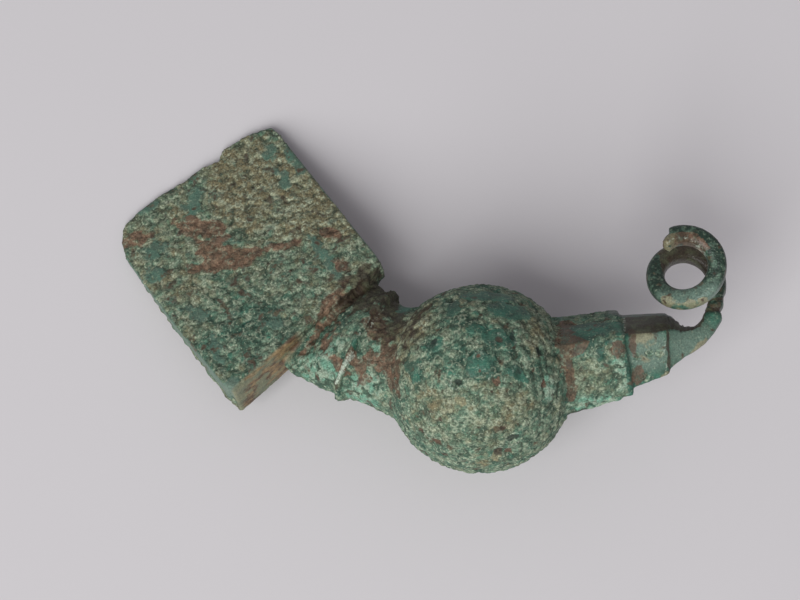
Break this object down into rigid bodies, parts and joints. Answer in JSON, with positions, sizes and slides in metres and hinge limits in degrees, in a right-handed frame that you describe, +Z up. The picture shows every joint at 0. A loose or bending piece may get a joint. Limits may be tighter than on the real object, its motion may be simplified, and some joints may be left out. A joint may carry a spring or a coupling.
{
  "type": "fibula brooch",
  "caption": "Ancient cast bow brooch, broken and corroded: square catch plate, ringed stem, globular bead, square bar and spring coil; the pin is lost.",
  "frame": {"origin": "middle of the footprint of the brooch, on the surface that it lies on", "axes": "+X from the catch plate to the spring coil, +Y towards the side on which the plate and the coil turn up, +Z up from the surface"},
  "size_m": [0.0716, 0.0442, 0.0215],
  "materials": {
    "corroded_bronze": "buried bronze: rough green and olive crust over smooth dark teal patina, with brown soil stains"
  },
  "bodies": {
    "root": {"fibula": "corroded_bronze"}
  },
  "joints": []
}
